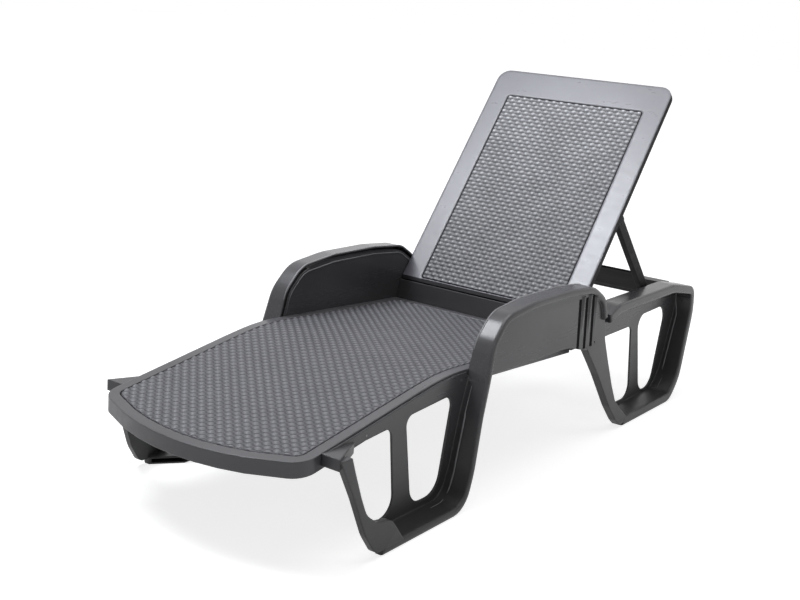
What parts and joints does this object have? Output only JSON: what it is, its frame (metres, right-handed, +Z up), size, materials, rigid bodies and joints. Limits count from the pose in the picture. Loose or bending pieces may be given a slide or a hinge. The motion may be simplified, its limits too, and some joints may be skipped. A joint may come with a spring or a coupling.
{
  "type": "sun lounger",
  "caption": "Moulded resin sun lounger with arms, a rattan-look seat and a rattan-look backrest that tilts on pins and is held up by a swinging prop.",
  "frame": {"origin": "on the floor, midway between the tip of the seat and the head end, in the middle of the width", "axes": "+X across to the right side frame, +Y towards the head end, +Z up"},
  "size_m": [0.7094, 1.846, 0.927],
  "materials": {
    "anthracite_resin": "semi-gloss moulded anthracite resin",
    "woven_resin": "moulded rattan texture, satin",
    "charcoal_resin": "darker satin resin",
    "zinc_steel": "zinc-plated"
  },
  "bodies": {
    "base": {"side_frame_right": "anthracite_resin", "side_frame_left": "anthracite_resin", "seat_frame": "anthracite_resin", "seat_panel": "woven_resin", "hip_rail": "charcoal_resin", "rear_rail": "charcoal_resin", "notch_rack_right": "charcoal_resin", "notch_rack_left": "charcoal_resin", "seat_screw_front_right": "zinc_steel", "seat_screw_front_left": "zinc_steel", "seat_screw_rear_right": "zinc_steel", "seat_screw_rear_left": "zinc_steel", "hip_rail_screw_right": "zinc_steel", "hip_rail_screw_left": "zinc_steel", "rear_rail_screw_right": "zinc_steel", "rear_rail_screw_left": "zinc_steel", "hinge_pin_right": "charcoal_resin", "hinge_pin_left": "charcoal_resin"},
    "backrest": {"backrest_frame": "anthracite_resin", "backrest_panel": "woven_resin", "prop_pin_right": "charcoal_resin", "prop_pin_left": "charcoal_resin"},
    "prop": {"prop_frame": "charcoal_resin"}
  },
  "joints": [
    {"name": "backrest_tilt", "type": "hinge", "parent": "base", "child": "backrest", "pos_m": [0, 0.27898, 0.33348], "axis": [1, 0, 0], "range_deg": [-52.3, 0]},
    {"name": "prop_swing", "type": "hinge", "parent": "backrest", "child": "prop", "pos_m": [0, 0.45848, 0.5739], "axis": [1, 0, 0], "range_deg": [0, 97.2]}
  ],
  "couplings": [
    {"joint": "prop_swing", "follows": "backrest_tilt", "ratio": -1.8573}
  ]
}
